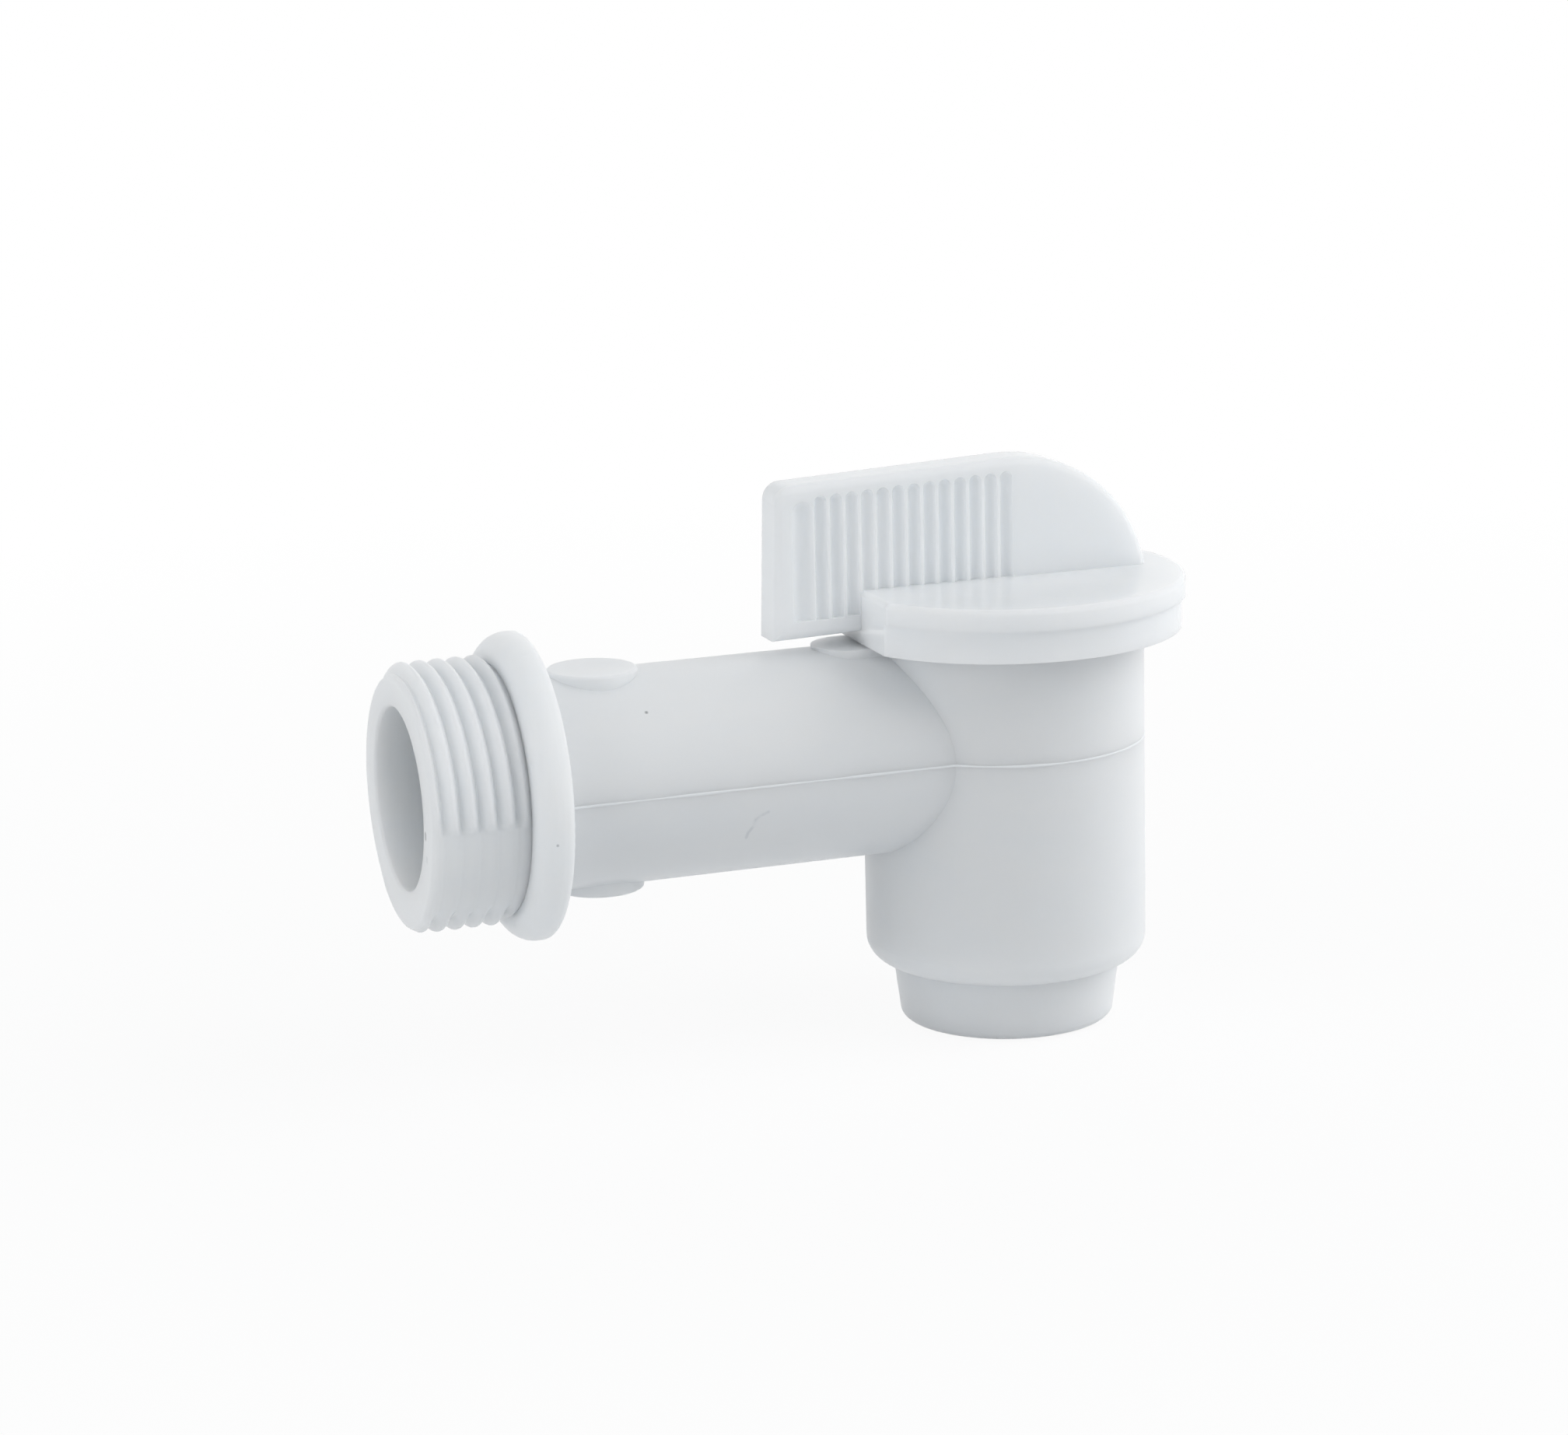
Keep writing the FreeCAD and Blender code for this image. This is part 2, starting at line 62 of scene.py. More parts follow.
cad_size = [round(v / MM, 1) for v in cad_high - cad_low]
print("nodes", sorted(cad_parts), "size in mm", cad_size)

# %% [markdown]
# ## The camera
# The photograph looks at the tap from the spigot's side and a little from above. A camera
# can be aimed with a tracking constraint, but here its three directions are worked out
# from yaw, pitch and roll, because these are what a fit to the photograph gives, and they
# go straight into the columns of the camera's matrix.

# %% Camera
CAMERA_YAW, CAMERA_PITCH, CAMERA_ROLL = np.radians([19.541, 13.388, -1.385])
CAMERA_TARGET = np.array([30.02, 0.0, 4.02]) * MM
CAMERA_DISTANCE = 433.6 * MM
IMAGE_WIDTH = 2016
FOCAL_LENGTH_IN_PIXELS = 5600
SENSOR_WIDTH = 36.0


def camera_directions(yaw, pitch, roll):
    """Right, up and forward: forward is +Y turned by yaw about Z and tipped down by pitch,
    right stays level, up is square to both, and roll then turns right and up together."""
    ahead = np.array([math.sin(yaw), math.cos(yaw)]) * math.cos(pitch)
    forward = np.array([*ahead, -math.sin(pitch)])
    level = np.array([math.cos(yaw), -math.sin(yaw), 0.0])
    upright = np.cross(level, forward)
    right = math.cos(roll) * level + math.sin(roll) * upright
    up = math.cos(roll) * upright - math.sin(roll) * level
    return right, up, forward


right, up, forward = camera_directions(CAMERA_YAW, CAMERA_PITCH, CAMERA_ROLL)
camera_data = bpy.data.cameras.new("photo_camera")
camera_data.sensor_fit = "HORIZONTAL"
camera_data.sensor_width = SENSOR_WIDTH
camera_data.lens = FOCAL_LENGTH_IN_PIXELS / IMAGE_WIDTH * SENSOR_WIDTH
camera_data.clip_start = 10 * MM
camera = bpy.data.objects.new("photo_camera", camera_data)
place = np.eye(4)
place[:3, :3] = np.stack([right, up, -forward], axis=1)
place[:3, 3] = CAMERA_TARGET - forward * CAMERA_DISTANCE
camera.matrix_world = Matrix(place.tolist())
bpy.context.scene.collection.objects.link(camera)
bpy.context.scene.camera = camera
bpy.context.scene.view_settings.view_transform = "Standard"
print("camera at", np.round(place[:3, 3] / MM, 1), "mm, lens", round(camera_data.lens, 1))

# %% [markdown]
# ## The white studio
# Pale plastic on a white ground is lit from all round, so that its shading stays gentle.
# More lamps could whiten the ground, but they would bleach the plastic first. Instead the
# world and the floor answer the camera with plain white, while the light that reaches the
# tap stays at an everyday level. Rays that mirror the studio see the same white.

# %% World
WORLD_LIGHT = 0.25
WORLD_COLOUR = (0.93, 0.97, 1.0, 1.0)
WHITE = (1.0, 1.0, 1.0, 1.0)


def seen_directly(nodes, links):
    """1 for rays from the camera, a mirror or glass, 0 for rays that carry light to a surface:
    the largest of the three marks that Light Path gives."""
    path = nodes.new("ShaderNodeLightPath")
    first = nodes.new("ShaderNodeMath")
    first.operation = "MAXIMUM"
    links.new(path.outputs["Is Camera Ray"], first.inputs[0])
    links.new(path.outputs["Is Glossy Ray"], first.inputs[1])
    both = nodes.new("ShaderNodeMath")
    both.operation = "MAXIMUM"
    links.new(first.outputs[0], both.inputs[0])
    links.new(path.outputs["Is Transmission Ray"], both.inputs[1])
    return both.outputs[0]


world = bpy.data.worlds.new("white_studio")
world.use_nodes = True
bpy.context.scene.world = world
world_nodes, world_links = world.node_tree.nodes, world.node_tree.links
world_nodes.clear()
lighting = world_nodes.new("ShaderNodeBackground")
lighting.inputs["Color"].default_value = WORLD_COLOUR
lighting.inputs["Strength"].default_value = WORLD_LIGHT
backdrop = world_nodes.new("ShaderNodeBackground")
backdrop.inputs["Color"].default_value = WHITE
world_mix = world_nodes.new("ShaderNodeMixShader")
world_out = world_nodes.new("ShaderNodeOutputWorld")
world_links.new(seen_directly(world_nodes, world_links), world_mix.inputs["Fac"])
world_links.new(lighting.outputs[0], world_mix.inputs[1])
world_links.new(backdrop.outputs[0], world_mix.inputs[2])
world_links.new(world_mix.outputs[0], world_out.inputs["Surface"])
print("world light", WORLD_LIGHT)

# %% [markdown]
# The floor is a sheet of pale paper. Pure white would swallow the shadow, and plain paper
# would look grey against the backdrop. So near the tap a small part of the paper's own
# shading shows, which holds the shadow, and further out it fades to white, as a paper sweep
# does. To other surfaces it is plain paper and throws its light up under the barrel.

# %% Paper
FLOOR_COLOUR = (0.80, 0.81, 0.82, 1.0)
FLOOR_GLOW = 0.92
SWEEP_CENTRE_X, SWEEP_START, SWEEP_END = 0.045, 0.06, 0.30

paper = bpy.data.materials.new("pale_paper")
paper.use_nodes = True
paper_nodes, paper_links = paper.node_tree.nodes, paper.node_tree.links
paper_nodes.clear()
matt = paper_nodes.new("ShaderNodeBsdfDiffuse")
matt.inputs["Color"].default_value = FLOOR_COLOUR
glow = paper_nodes.new("ShaderNodeEmission")
glow.inputs["Color"].default_value = WHITE
paper_place = paper_nodes.new("ShaderNodeTexCoord")
from_tap = paper_nodes.new("ShaderNodeVectorMath")
from_tap.operation = "DISTANCE"
from_tap.inputs[1].default_value = (SWEEP_CENTRE_X, 0.0, cad_low.z)
paper_links.new(paper_place.outputs["Object"], from_tap.inputs[0])
sweep = paper_nodes.new("ShaderNodeMapRange")
RANGE_SOCKETS = ("From Min", "From Max", "To Min", "To Max")
for socket, number in zip(RANGE_SOCKETS, (SWEEP_START, SWEEP_END, FLOOR_GLOW, 1.0)):
    sweep.inputs[socket].default_value = number
paper_links.new(from_tap.outputs["Value"], sweep.inputs["Value"])
share = paper_nodes.new("ShaderNodeMath")
share.operation = "MULTIPLY"
paper_links.new(sweep.outputs["Result"], share.inputs[1])
paper_mix = paper_nodes.new("ShaderNodeMixShader")
paper_out = paper_nodes.new("ShaderNodeOutputMaterial")
paper_links.new(seen_directly(paper_nodes, paper_links), share.inputs[0])
paper_links.new(share.outputs[0], paper_mix.inputs["Fac"])
paper_links.new(matt.outputs[0], paper_mix.inputs[1])
paper_links.new(glow.outputs[0], paper_mix.inputs[2])
paper_links.new(paper_mix.outputs[0], paper_out.inputs["Surface"])

# %% Floor
FLOOR_HALF = 3.0
FLOOR_DROP = 0.2 * MM

floor_z = cad_low.z - FLOOR_DROP
floor_mesh = bpy.data.meshes.new("floor")
floor_corners = np.array([[-1, -1], [1, -1], [1, 1], [-1, 1]]) * FLOOR_HALF
floor_points = np.column_stack([floor_corners, np.full(4, floor_z)])
floor_mesh.from_pydata(floor_points.tolist(), [], [(0, 1, 2, 3)])
floor_mesh.materials.append(paper)
floor = bpy.data.objects.new("floor", floor_mesh)
bpy.context.scene.collection.objects.link(floor)
print("floor at", round(floor_z / MM, 2), "mm")

# %% [markdown]
# ## Soft lamps
# The photograph's tap is brightest on its tops and right sides, is lit a little on its left
# end, and is dimmest in front, so the lamps stand above on both sides, to the right, to the
# left and behind, and none stands beside the camera. A single lamp or a sun would cast hard
# shadows; large square lamps keep every edge of the shading soft. They are hidden from
# reflections, which would show them as burnt-out squares on the glossy head. Each lamp's
# power is worked out from the brightness wanted at the tap, so that the distance can change
# freely.

# %% Lamps
LIGHT_CENTRE = Vector((32 * MM, 0.0, 0.0))
LAMP_DISTANCE, LAMP_SIZE = 0.60, 0.50
LAMPS = [
    # name, direction from the tap, brightness on a white card
    ("right_top", (0.8, -0.5, 0.8), 0.52),
    ("left_top", (-0.6, -0.2, 0.9), 0.20),
    ("left_side", (-1.0, -0.3, 0.1), 0.38),
    ("right_side", (1.0, -0.05, 0.15), 0.33),
    ("behind", (0.30, 1.0, 0.35), 0.27),
]


def add_lamp(name, direction, brightness):
    """A square lamp aimed at the tap. A card at distance d gets power / (pi d squared), and
    shows white at pi, so the power is brightness times pi squared times d squared."""
    lamp = bpy.data.lights.new(name, "AREA")
    lamp.size = LAMP_SIZE
    lamp.energy = brightness * math.pi ** 2 * LAMP_DISTANCE ** 2
    holder = bpy.data.objects.new(name, lamp)
    away = Vector(direction).normalized()
    aim = (-away).to_track_quat("-Z", "Y").to_matrix().to_4x4()
    holder.matrix_world = Matrix.Translation(LIGHT_CENTRE + away * LAMP_DISTANCE) @ aim
    holder.visible_glossy = False
    bpy.context.scene.collection.objects.link(holder)
    return lamp.energy


print("lamp watts", [round(add_lamp(*row), 2) for row in LAMPS])

# %% [markdown]
# ## The plastic
# Polyethylene is a milky solid: light enters it, spreads a few millimetres and leaves
# again, which is why thin edges glow and shadows look washed out. A diffuse white would
# look like plaster, so the shader's subsurface part carries most of the colour. Faint
# clouds, streaks along the flow of the melt and a fine skin keep it from looking flat. A
# small class keeps the node calls short.

# %% Finish helpers
class Finish:
    """A material under construction, with its nodes reached by short calls."""

    def __init__(self, name):
        self.material = bpy.data.materials.new(name)
        self.material.use_nodes = True
        self.nodes = self.material.node_tree.nodes
        self.links = self.material.node_tree.links
        self.shader = self.nodes["Principled BSDF"]
        self.place = self.nodes.new("ShaderNodeTexCoord").outputs["Object"]

    def noise(self, scale, detail=3.0, stretch=(1.0, 1.0, 1.0)):
        """Noise on object coordinates; a stretch below 1 draws it out along that axis."""
        mapping = self.nodes.new("ShaderNodeMapping")
        mapping.inputs["Scale"].default_value = stretch
        self.links.new(self.place, mapping.inputs["Vector"])
        texture = self.nodes.new("ShaderNodeTexNoise")
        texture.inputs["Scale"].default_value = scale
        texture.inputs["Detail"].default_value = detail
        self.links.new(mapping.outputs[0], texture.inputs["Vector"])
        return texture.outputs["Fac"]

    def fit(self, value, low, high, to_low, to_high):
        """Maps low..high onto to_low..to_high, clamped."""
        node = self.nodes.new("ShaderNodeMapRange")
        for socket, number in zip(RANGE_SOCKETS, (low, high, to_low, to_high)):
            node.inputs[socket].default_value = number
        self.links.new(value, node.inputs["Value"])
        return node.outputs["Result"]

    def math(self, operation, first, second):
        """One arithmetic step on two values; either may be a number or another node's output."""
        node = self.nodes.new("ShaderNodeMath")
        node.operation = operation
        for socket, value in zip(node.inputs, (first, second)):
            if isinstance(value, (int, float)):
                socket.default_value = value
            else:
                self.links.new(value, socket)
        return node.outputs[0]

    def mix(self, factor, first, second):
        """Blends two colours; either may be a colour or another node's output."""
        node = self.nodes.new("ShaderNodeMix")
        node.data_type = "RGBA"
        self.links.new(factor, node.inputs["Factor"])
        for socket, value in ((node.inputs[6], first), (node.inputs[7], second)):
            if isinstance(value, tuple):
                socket.default_value = value
            else:
                self.links.new(value, socket)
        return node.outputs[2]


# %% [markdown]
# Both mouldings share the recipe below. What differs is the direction in which the melt
# ran, along the barrel in the body and up the wing in the plug, the gloss, which looks
# higher on the plug, and how far light spreads, because the body's longer spread would blur
# the wing's flutes.

# %% Polyethylene
COLOURS = {
    "body": ((0.86, 0.89, 0.915, 1.0), (0.90, 0.915, 0.93, 1.0)),
    "plug": ((0.86, 0.885, 0.905, 1.0), (0.895, 0.91, 0.925, 1.0)),
}
CLOUD_SCALE, STREAK_SCALE, SKIN_SCALE = 55.0, 220.0, 1600.0
DRAWN_OUT = 1.0 / 12.0
STREAK_AXIS = {"body": (DRAWN_OUT, 1.0, 1.0), "plug": (1.0, 1.0, DRAWN_OUT)}
SPREAD = {"body": 4.2 * MM, "plug": 3.4 * MM}
GLOSS = {"body": (0.30, 0.40), "plug": (0.09, 0.13)}
SKIN_BUMP = {"body": 0.06, "plug": 0.02}
SKIN_DEPTH = 0.03 * MM
SKIN_GLOSS = 0.02
MILKY = 0.9
SPREAD_BY_COLOUR = (1.0, 0.98, 0.95)
REFRACTION = 1.51


def polyethylene(kind, milky=MILKY, name=None):
    """Milky plastic: clouds and streaks move the colour, and streaks and skin move gloss and bump.
    Milky is the share of the light that travels inside the plastic."""
    finish = Finish(name or f"{kind}_polyethylene")
    clouds = finish.noise(CLOUD_SCALE)
    streaks = finish.noise(STREAK_SCALE, 4.0, STREAK_AXIS[kind])
    skin = finish.noise(SKIN_SCALE, 4.0)
    cloudy = finish.fit(clouds, 0.3, 0.7, 0.0, 0.6)
    streaky = finish.fit(streaks, 0.35, 0.65, 0.0, 0.4)
    finish.colour = finish.mix(finish.math("ADD", cloudy, streaky), *COLOURS[kind])
    dull = finish.fit(streaks, 0.3, 0.7, *GLOSS[kind])
    grainy = finish.fit(skin, 0.3, 0.7, -SKIN_GLOSS, SKIN_GLOSS)
    rough = finish.math("ADD", dull, grainy)
    finish.links.new(rough, finish.shader.inputs["Roughness"])
    bump = finish.nodes.new("ShaderNodeBump")
    bump.inputs["Strength"].default_value = SKIN_BUMP[kind]
    bump.inputs["Distance"].default_value = SKIN_DEPTH
    finish.links.new(skin, bump.inputs["Height"])
    finish.links.new(bump.outputs["Normal"], finish.shader.inputs["Normal"])
    finish.shader.inputs["IOR"].default_value = REFRACTION
    finish.shader.inputs["Subsurface Weight"].default_value = milky
    finish.shader.inputs["Subsurface Radius"].default_value = SPREAD_BY_COLOUR
    finish.shader.inputs["Subsurface Scale"].default_value = SPREAD[kind]
    return finish


body_finish, plug_finish = polyethylene("body"), polyethylene("plug")
plug_finish.links.new(plug_finish.colour, plug_finish.shader.inputs["Base Color"])
print("plastics", body_finish.material.name, plug_finish.material.name)

# %% [markdown]
# The body carries a few small marks: dark specks on the barrel and the flange, dirt at the
# spigot's mouth, and a hair-thin grey scuff under the parting line. They could be painted in
# an image, but that would need an unwrapped body, so each is a short stroke in space that
# darkens what it touches. A speck is a stroke of almost no length, and the scuff is a chain
# of them, broken up by noise.

# %% Strokes
STROKE_CORE = 0.35


def vector_step(finish, operation, first, second):
    """A vector operation; each input is another node's output, a place in metres or a number."""
    node = finish.nodes.new("ShaderNodeVectorMath")
    node.operation = operation
    second_socket = node.inputs["Scale" if operation == "SCALE" else 1]
    for socket, value in ((node.inputs[0], first), (second_socket, second)):
        if isinstance(value, bpy.types.NodeSocket):
            finish.links.new(value, socket)
        else:
            socket.default_value = value
    return node.outputs["Value" if operation in ("DISTANCE", "DOT_PRODUCT") else "Vector"]


def stroke(finish, start, end, radius):
    """1 along a straight line from start to end, falling to 0 at the radius, in millimetres. The
    share along the line is (place - start) . (end - start) / length squared, kept within 0..1."""
    start, along = np.array(start) * MM, (np.array(end) - start) * MM
    from_start = vector_step(finish, "SUBTRACT", finish.place, start)
    share = vector_step(finish, "DOT_PRODUCT", from_start, along / (along @ along))
    nearest = vector_step(finish, "SCALE", along, finish.fit(share, 0.0, 1.0, 0.0, 1.0))
    gap = vector_step(finish, "DISTANCE", from_start, nearest)
    return finish.fit(gap, STROKE_CORE * radius * MM, radius * MM, 1.0, 0.0)


# %% Marks on the body
SPECK_COLOUR = (0.28, 0.29, 0.30, 1.0)
SCUFF_COLOUR = (0.62, 0.65, 0.68, 1.0)
SPECKS = [
    # start, end, radius, darkness
    ((13.34, -7.31, 7.82), (13.35, -7.31, 7.82), 0.22, 0.8),
    ((1.67, -15.02, -2.34), (1.68, -15.02, -2.34), 0.22, 0.8),
    ((-9.8, -9.85, -1.15), (-9.8, -9.80, -1.55), 0.36, 0.7),
    ((-9.8, -10.00, -3.50), (-9.8, -9.95, -3.80), 0.32, 0.2),
]
SCUFF_PATH = [(24.5, -10.37, -2.63), (23.8, -10.30, -2.90), (23.25, -10.15, -3.30),
              (23.1, -9.90, -4.00), (22.6, -9.60, -4.70), (22.5, -9.30, -5.25)]
SCUFF_RADIUS, SCUFF_SCALE = 0.22, 900.0

speck_share = 0.0
for start, end, radius, darkness in SPECKS:
    speck = body_finish.math("MULTIPLY", stroke(body_finish, start, end, radius), darkness)
    speck_share = body_finish.math("MAXIMUM", speck, speck_share)
scuff_share = 0.0
for start, end in zip(SCUFF_PATH, SCUFF_PATH[1:]):
    scuff = stroke(body_finish, start, end, SCUFF_RADIUS)
    scuff_share = body_finish.math("MAXIMUM", scuff, scuff_share)
broken = body_finish.fit(body_finish.noise(SCUFF_SCALE), 0.4, 0.6, 0.1, 0.5)
worn = body_finish.math("MULTIPLY", scuff_share, broken)
marked = body_finish.mix(worn, body_finish.colour, SCUFF_COLOUR)
marked = body_finish.mix(speck_share, marked, SPECK_COLOUR)
body_finish.links.new(marked, body_finish.shader.inputs["Base Color"])
print("marks", len(SPECKS), "specks and a scuff of", len(SCUFF_PATH) - 1, "strokes")

# %% [markdown]
# ## The plug, joined up
# The plug's solid already has the head's two bands, the flat, the wing and its flutes, so
# its shape is kept. But a CAD mesh comes as loose triangles, and light that travels inside
# the plastic leaks at their edges and leaves blotches. So a copy with its points joined
# stands for the solid, with the solid's own shading normals put back on it.

# %% Plug copy
WELD = 1e-7


def add_piece(name, points, faces, finish, body):
    """Makes a smooth mesh piece from points in millimetres, and hangs it on a body of the tap."""
    mesh = bpy.data.meshes.new(name)
    mesh.from_pydata((points * MM).tolist(), [], faces)
    mesh.polygons.foreach_set("use_smooth", np.ones(len(faces), dtype=bool))
    mesh.materials.append(finish.material)
    piece = bpy.data.objects.new(name, mesh)
    bpy.context.scene.collection.objects.link(piece)
    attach(piece, body)
    return piece


def joined_copy(mesh):
    """Points in millimetres, triangles and corner normals of a mesh, with equal points made one:
    points that round to the same place share the first one's number."""
    points = np.empty(len(mesh.vertices) * 3)
    mesh.vertices.foreach_get("co", points)
    corners = np.empty(len(mesh.loops), dtype=np.int64)
    mesh.loops.foreach_get("vertex_index", corners)
    normals = np.empty(len(mesh.loops) * 3)
    mesh.corner_normals.foreach_get("vector", normals)
    points = points.reshape(-1, 3)
    rounded = np.round(points / WELD)
    _, kept, places = np.unique(rounded, axis=0, return_index=True, return_inverse=True)
    triangles = places.reshape(-1)[corners].reshape(-1, 3)
    whole = (np.diff(np.sort(triangles, axis=1), axis=1) > 0).all(axis=1)
    return points[kept] / MM, triangles[whole], normals.reshape(-1, 3, 3)[whole]


def add_copy(name, node, points, triangles, normals, finish, body):
    """A joined copy that stands for a CAD node, with the solid's normals at its corners."""
    piece = add_piece(name, points, triangles.tolist(), finish, body)
    piece.data.normals_split_custom_set(normals.reshape(-1, 3).tolist())
    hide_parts(node)


plug_copy = joined_copy(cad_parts["valve_plug"].data)
add_copy("plug_moulding", "valve_plug", *plug_copy, plug_finish, "plug")
print("plug points", len(plug_copy[0]), "triangles", len(plug_copy[1]))

# %% [markdown]
# ## The body, with a bare spigot
# The solid's spigot is a plain cylinder at the height of the thread's crests. A thread
# can't be laid on top of it, so the joined copy of the body has that cylinder drawn in, to
# be wrapped by a threaded sleeve of its own.

# %% Body copy
SPIGOT_LENGTH, CREST_RADIUS, BARE_RADIUS = 9.8, 13.2, 11.4
BARE_PULL = 0.8
CREST_BAND = 1.0
RIM_CLEAR = 0.05

points, triangles, normals = joined_copy(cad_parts["tap_body"].data)
radius = np.hypot(points[:, 1], points[:, 2])
on_spigot = ((points[:, 0] < RIM_CLEAR) & (radius < CREST_RADIUS + RIM_CLEAR)
             & (radius > CREST_RADIUS - CREST_BAND))
points[on_spigot, 1:] *= (BARE_RADIUS / radius[on_spigot])[:, None]
points[points[:, 0] < RIM_CLEAR - SPIGOT_LENGTH, 0] += BARE_PULL
print("spigot points drawn in", int(on_spigot.sum()))

# %% [markdown]
# The flange's edge on the spigot's side is rounder on the real moulding than on the solid.
# A bevel would cut new faces and lose the solid's normals. Sliding the points of its small
# rounding onto a larger one keeps each point's angle, so the normals stay right.

# %% Flange edge
FLANGE_RADIUS, EDGE_ROUND, SOFT_ROUND = 15.2, 1.2, 2.4


def rounder(x, radius):
    """Station and radius of points on the small rounding, x = s (1 - cos t) and
    radius = R - s + s sin t, moved to the same angle t on the larger one."""
    angle = np.arctan2(radius - (FLANGE_RADIUS - EDGE_ROUND), EDGE_ROUND - x)
    return (SOFT_ROUND * (1.0 - np.cos(angle)),
            FLANGE_RADIUS - SOFT_ROUND + SOFT_ROUND * np.sin(angle))


radius = np.hypot(points[:, 1], points[:, 2])
on_edge = ((points[:, 0] > -RIM_CLEAR) & (points[:, 0] < EDGE_ROUND + RIM_CLEAR)
           & (radius > FLANGE_RADIUS - EDGE_ROUND - RIM_CLEAR))
soft_x, soft_radius = rounder(points[on_edge, 0], radius[on_edge])
points[on_edge, 1:] *= (soft_radius / radius[on_edge])[:, None]
points[on_edge, 0] = soft_x
add_copy("tap_moulding", "tap_body", points, triangles, normals, body_finish, "tap")
print("body triangles", len(triangles), "flange edge points moved", int(on_edge.sum()))

# %% [markdown]
# ## The thread
# A moulded pipe thread has broad rounded ridges and narrow valleys. It could be a screw
# modifier's sweep, but a two-part mould can't release a ridge beside its parting line, so
# the ridges end there and stay low for a stretch below it. That is easy as a surface over
# two parameters, the station along the spigot and the angle round it: the ridge is a wave
# that climbs one pitch each turn, and the fades multiply its height.

# %% Thread surface
PITCH, ROOT_RADIUS = 1.814, 12.06
CREST_AT = -8.69
CREST_BREADTH = 0.62
RUN_OUT, RUN_OUT_LEVEL = (-1.1, 0.1), 0.3
RELIEF_EDGE, RELIEF_END = (0.0, 5.0), (46.0, 64.0)
RELIEF_LEFT, RELIEF_LEVEL = 0.12, 0.45
END_RADIUS = 12.35


def ease(value, low, high):
    """0 below low, 1 above high, and a smooth S between them."""
    t = np.clip((value - low) / (high - low), 0.0, 1.0)
    return t * t * (3.0 - 2.0 * t)


def thread_radius(x, angle):
    """Outside radius at station x and angle: root plus depth times a raised cosine of the
    helix phase, (x - crest) / pitch - angle / turn, to a power below one for broad crests.
    Near the flange the ridges run out, below the parting plane they are relieved, and at
    the open end a cone at 45 degrees trims them."""
    phase = (x - CREST_AT) / PITCH - angle / TURN
    ridge = (0.5 + 0.5 * np.cos(TURN * phase)) ** CREST_BREADTH
    from_parting = np.minimum(angle - math.pi, TURN - angle)
    below = np.degrees(np.where(angle > math.pi, from_parting, 0.0))
    relief = ease(below, *RELIEF_EDGE) * (1.0 - ease(below, *RELIEF_END))
    kept = 1.0 - (1.0 - RELIEF_LEFT) * relief
    level = kept * ridge + (1.0 - kept) * RELIEF_LEVEL
    run_out = ease(x, *RUN_OUT)
    level = level * (1.0 - run_out) + RUN_OUT_LEVEL * run_out
    outside = ROOT_RADIUS + (CREST_RADIUS - ROOT_RADIUS) * level
    return np.minimum(outside, END_RADIUS + x + SPIGOT_LENGTH)


# %% [markdown]
# The sleeve's section is a closed loop: along the outside, round the rim of the open end,
# down the bore past the flange, and back inside the wall where nothing shows. With its own
# bore it is a whole wall, so light can shine through it. Carried round the axis the loop
# closes on itself both ways, so the piece needs no caps and has no poles.

# %% Thread piece
AROUND = 320
OUTSIDE_STEPS = 104
SEATED, INNER_RADIUS = 0.35, 11.6
BORE_RADIUS, BORE_REACH = 8.97, 2.0
RIM_ROUND, LIP_ROUND, ROUND_STEPS = 0.55, 0.35, 7


def quarter(centre_x, centre_r, size, start, end):
    """Points on an arc in the plane of station and radius: the centre plus size times the cosine
    and sine of angles from start to end, in quarter turns."""
    turn = np.linspace(start, end, ROUND_STEPS) * TURN / 4
    return np.stack([centre_x + size * np.cos(turn), centre_r + size * np.sin(turn)], axis=1)


angle = np.arange(AROUND) * TURN / AROUND
rim_x = RIM_ROUND - SPIGOT_LENGTH
station = np.linspace(SEATED, rim_x, OUTSIDE_STEPS)
outside = thread_radius(station[:, None], angle[None, :])
rim = quarter(rim_x, 0.0, RIM_ROUND, 1.0, 2.0)[1:]
rim_radius = outside[-1][None, :] - RIM_ROUND + rim[:, 1][:, None]
lip = quarter(LIP_ROUND - SPIGOT_LENGTH, BORE_RADIUS + LIP_ROUND, LIP_ROUND, 2.0, 3.0)
hidden = np.array([[BORE_REACH, BORE_RADIUS], [BORE_REACH, INNER_RADIUS], [SEATED, INNER_RADIUS]])
plain = np.concatenate([lip, hidden])
loop_x = np.concatenate([station, rim[:, 0], plain[:, 0]])
plain_radius = np.repeat(plain[:, 1][:, None], AROUND, axis=1)
loop_radius = np.concatenate([outside, rim_radius, plain_radius])


def closed_grid(rows, columns):
    """Quads over a grid that closes on itself both ways: each point, the one in the next row,
    and the two beside them."""
    here = np.arange(rows * columns).reshape(rows, columns)
    below = np.roll(here, -1, axis=0)
    beside = [np.roll(below, -1, axis=1), np.roll(here, -1, axis=1)]
    return np.stack([here, below, *beside], axis=-1).reshape(-1, 4)


thread_points = np.stack([np.repeat(loop_x[:, None], AROUND, axis=1),
                          loop_radius * np.cos(angle), loop_radius * np.sin(angle)], axis=-1)
thread_faces = closed_grid(len(loop_x), AROUND)
add_piece("spigot_thread", thread_points.reshape(-1, 3), thread_faces.tolist(), body_finish, "tap")
print("thread quads", len(thread_faces), "largest radius", round(float(loop_radius.max()), 2), "mm")

# %% [markdown]
# ## Flash along the parting line
# Where the two halves of the mould met, a hair of plastic stands proud along the barrel
# and round the housing. A curve with a bevel would do, but the line follows two known
# shapes, so a small oval is carried along a path of a straight run, an arc and a straight
# run, half sunk in the wall.

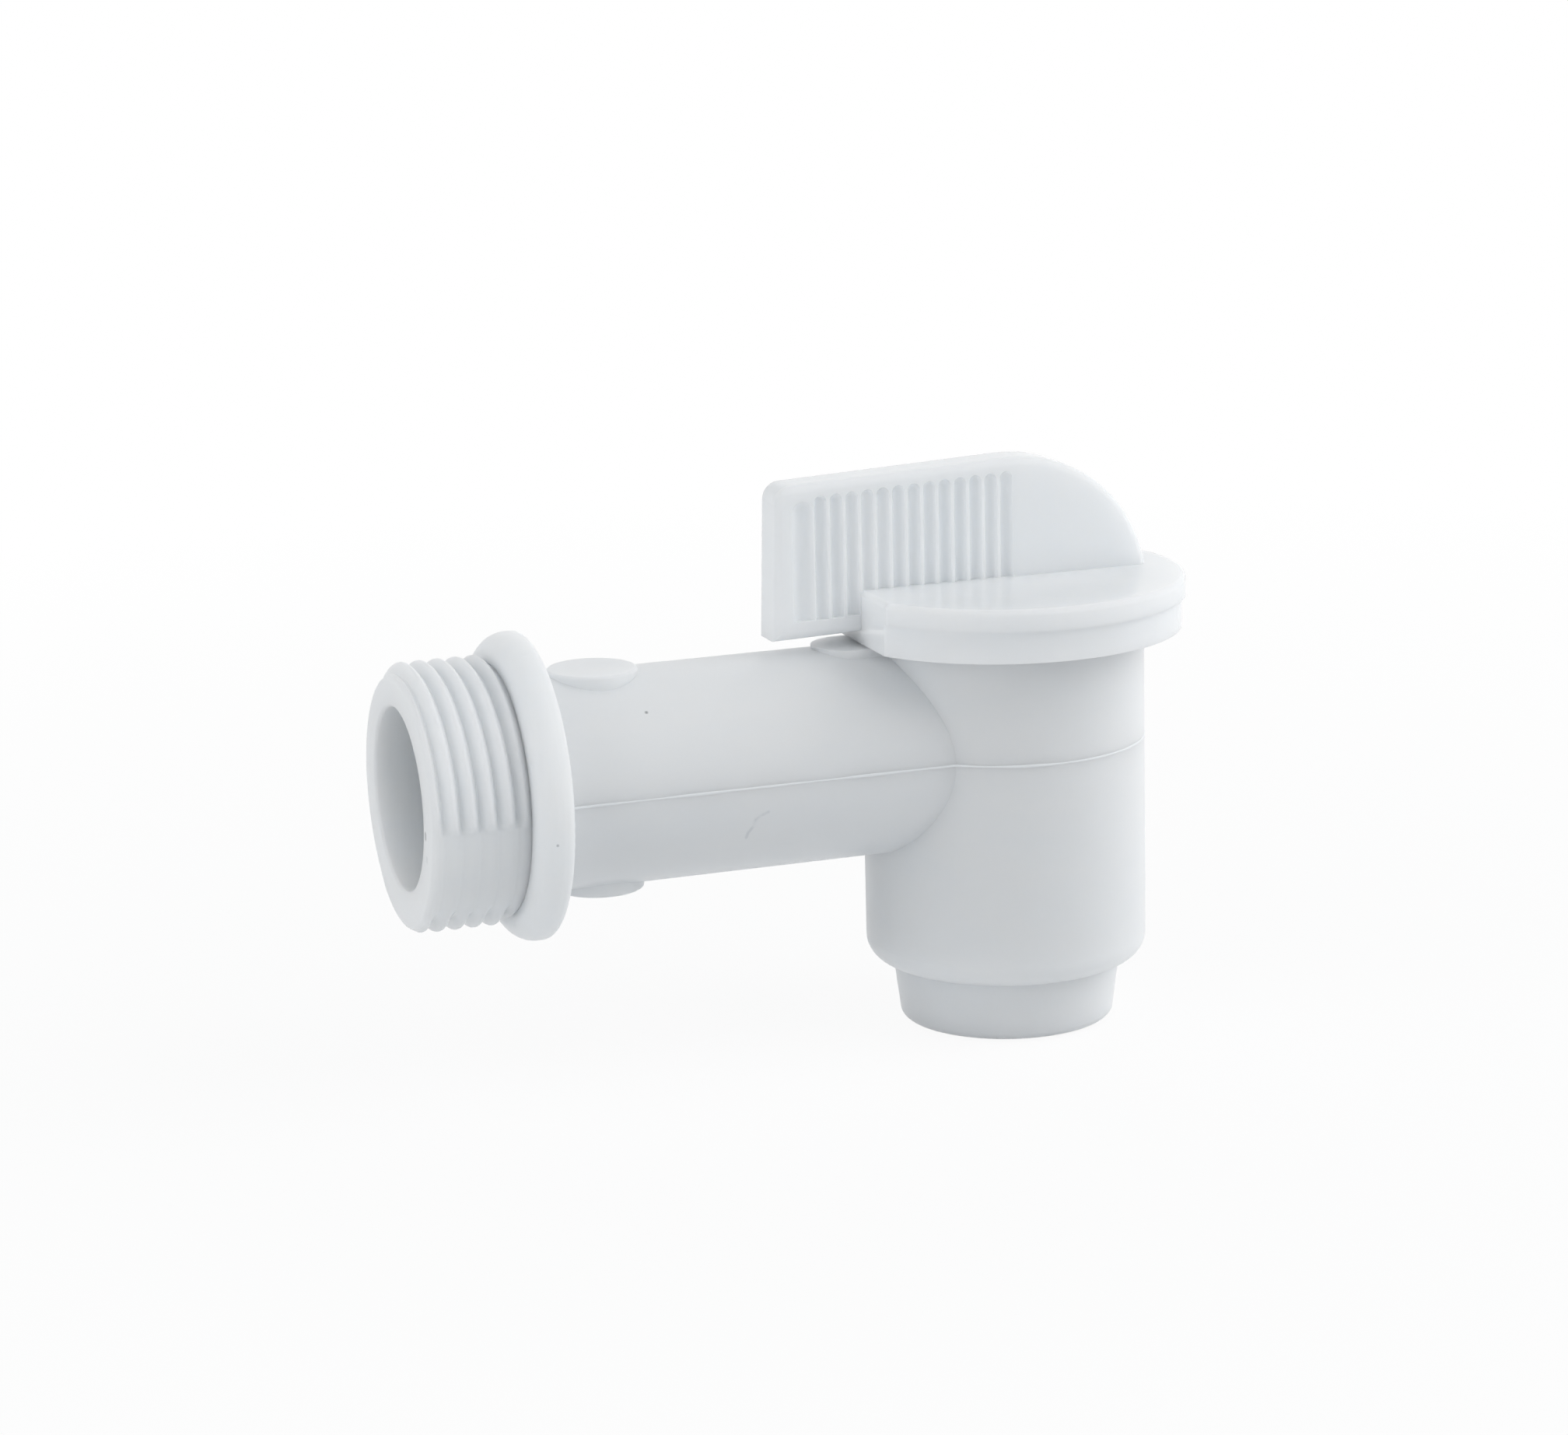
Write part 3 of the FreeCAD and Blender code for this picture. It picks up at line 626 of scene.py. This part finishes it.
# %% Parting flash
FLANGE_FRONT, BARREL_RADIUS = 3.4, 10.7
AXIS_X, HOUSING_RADIUS = 53.6, 14.3
FLASH_HIGH, FLASH_WIDE = 0.06, 0.16
FLASH_SIDES, RUN_STEPS, ARC_STEPS = 12, 60, 120
WANDER_MEAN, WANDER_SWING, WANDER_FAST, WANDER_SLOW = 0.75, 0.25, 0.37, 0.11


def carried(path, outward, high, wide):
    """An oval carried along a level path: path + outward * high * cos + up * wide * sin, with a
    flat face at each end."""
    turn = np.arange(FLASH_SIDES) * TURN / FLASH_SIDES
    side = path[:, None, :] + outward[:, None, :] * (high[:, None] * np.cos(turn))[..., None]
    side[..., 2] += (wide[:, None] * np.sin(turn))
    rows = len(path)
    here = np.arange(rows * FLASH_SIDES).reshape(rows, FLASH_SIDES)
    across = np.roll(here, -1, axis=1)
    quads = np.stack([here[:-1], here[1:], across[1:], across[:-1]], axis=-1).reshape(-1, 4)
    return side.reshape(-1, 3), quads.tolist() + [here[0].tolist(), here[-1, ::-1].tolist()]


meet = math.asin(BARREL_RADIUS / HOUSING_RADIUS)
meet_x = AXIS_X - HOUSING_RADIUS * math.cos(meet)
run_x = np.linspace(FLANGE_FRONT, meet_x, RUN_STEPS)
front_run = np.stack([run_x, np.full(RUN_STEPS, -BARREL_RADIUS), np.zeros(RUN_STEPS)], axis=1)
bend = np.linspace(meet - math.pi, math.pi - meet, ARC_STEPS)
ring = np.stack([np.cos(bend), np.sin(bend), np.zeros(ARC_STEPS)], axis=1)
arc = np.array([AXIS_X, 0.0, 0.0]) + HOUSING_RADIUS * ring
back_run = front_run[::-1] * [1, -1, 1]
path = np.concatenate([front_run[:-1], arc, back_run[1:]])
sideways = np.array([0.0, 1.0, 0.0])
beside = np.tile(sideways, (RUN_STEPS - 1, 1))
outward = np.concatenate([-beside, ring, beside])
count = np.arange(len(path))
wander = WANDER_MEAN + WANDER_SWING * np.sin(count * WANDER_FAST) * np.sin(count * WANDER_SLOW)
flash_points, flash_faces = carried(path, outward, FLASH_HIGH * wander, FLASH_WIDE * wander)
flash_finish = polyethylene("body", 0.0, "flash_polyethylene")
flash_finish.links.new(flash_finish.colour, flash_finish.shader.inputs["Base Color"])
add_piece("parting_flash", flash_points, flash_faces, flash_finish, "tap")
print("flash of", len(path), "sections reaches", round(float(path[:, 0].max()), 1), "mm")
